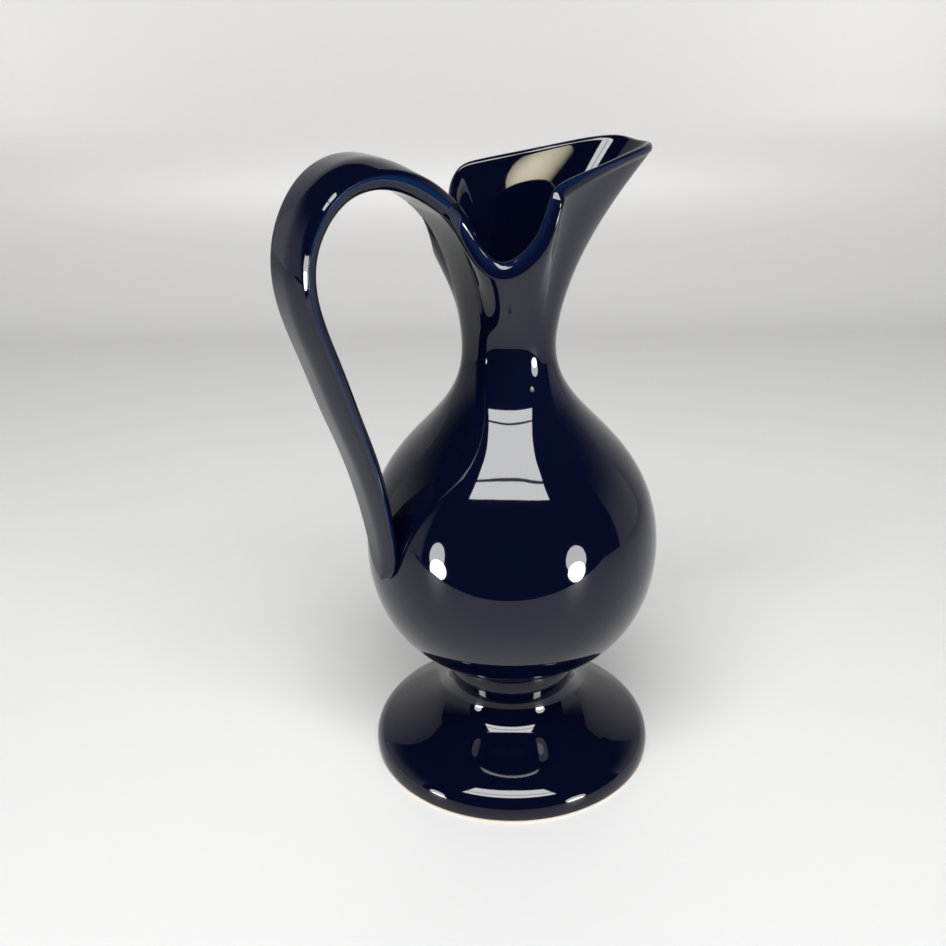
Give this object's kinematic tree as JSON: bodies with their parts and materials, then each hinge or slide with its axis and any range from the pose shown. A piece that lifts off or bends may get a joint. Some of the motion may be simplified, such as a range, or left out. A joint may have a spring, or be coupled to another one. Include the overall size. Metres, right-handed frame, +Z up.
{
  "type": "ewer",
  "caption": "Footed glazed ewer with a globe body, a slim neck, a beaked leaf-shaped mouth with cut-away sides, and a strap handle that grows out of the rim.",
  "frame": {"origin": "on the ground under the foot, midway between the tip of the spout and the back of the handle; the foot, the globe and the neck are turned about the upright axis at X = +16 mm", "axes": "+Z up, +X the way the spout pours, -X towards the handle, and the mirror plane is Y = 0"},
  "size_m": [0.1464, 0.1144, 0.2519],
  "materials": {
    "cobalt_black_glaze": "glossy",
    "bare_clay": "matt"
  },
  "bodies": {
    "root": {"foot": "cobalt_black_glaze", "belly": "cobalt_black_glaze", "neck_and_mouth": "cobalt_black_glaze", "handle": "cobalt_black_glaze"}
  },
  "joints": []
}
